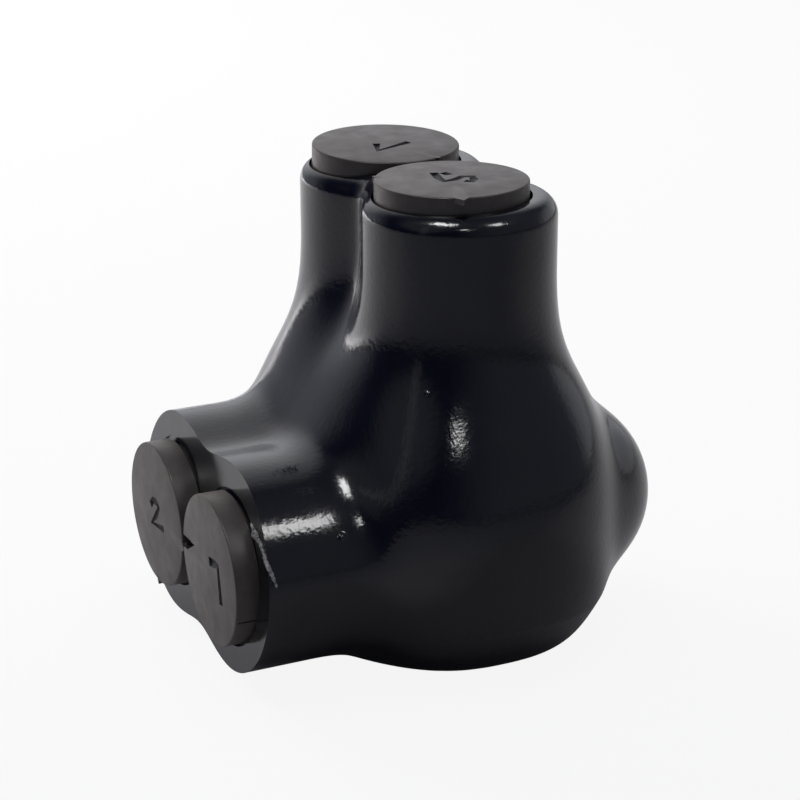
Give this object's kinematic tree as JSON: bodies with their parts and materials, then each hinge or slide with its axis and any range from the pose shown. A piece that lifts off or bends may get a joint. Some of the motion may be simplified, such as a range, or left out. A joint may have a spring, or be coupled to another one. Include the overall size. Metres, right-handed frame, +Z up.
{
  "type": "insulated splice connector",
  "caption": "Compact two-port splice block: a metal block with set screws in a glossy black dipped boot, with soft plugs in the wire ports and the screw chimneys.",
  "frame": {"origin": "on the resting plane, under the middle of the line between the two screw axes, which is on the symmetry plane", "axes": "+X away from the wire ports, +Y from port 1 to port 2, +Z up along the screw axes, out of the chimneys"},
  "size_m": [0.0491, 0.0482, 0.0493],
  "materials": {
    "boot_vinyl": "glossy dipped vinyl, black",
    "plug_plastic": "matte moulded plastic, black",
    "block_metal": "tin plated",
    "screw_metal": "machined"
  },
  "bodies": {
    "housing": {"insulating_boot": "boot_vinyl", "connector_block": "block_metal"},
    "screw_1": {"set_screw_1": "screw_metal"},
    "screw_plug_1": {"screw_port_plug_1": "plug_plastic"},
    "wire_plug_1": {"wire_port_plug_1": "plug_plastic"},
    "screw_2": {"set_screw_2": "screw_metal"},
    "screw_plug_2": {"screw_port_plug_2": "plug_plastic"},
    "wire_plug_2": {"wire_port_plug_2": "plug_plastic"}
  },
  "joints": [
    {"name": "screw_travel_1", "type": "slide", "parent": "housing", "child": "screw_1", "axis": [0, 0, -1], "range_m": [-0.004, 0.009]},
    {"name": "screw_plug_pull_1", "type": "slide", "parent": "housing", "child": "screw_plug_1", "axis": [0, 0, 1], "range_m": [0, 0.015]},
    {"name": "wire_plug_pull_1", "type": "slide", "parent": "housing", "child": "wire_plug_1", "axis": [-1, 0, 0], "range_m": [0, 0.015]},
    {"name": "screw_travel_2", "type": "slide", "parent": "housing", "child": "screw_2", "axis": [0, 0, -1], "range_m": [-0.004, 0.009]},
    {"name": "screw_plug_pull_2", "type": "slide", "parent": "housing", "child": "screw_plug_2", "axis": [0, 0, 1], "range_m": [0, 0.015]},
    {"name": "wire_plug_pull_2", "type": "slide", "parent": "housing", "child": "wire_plug_2", "axis": [-1, 0, 0], "range_m": [0, 0.015]}
  ]
}
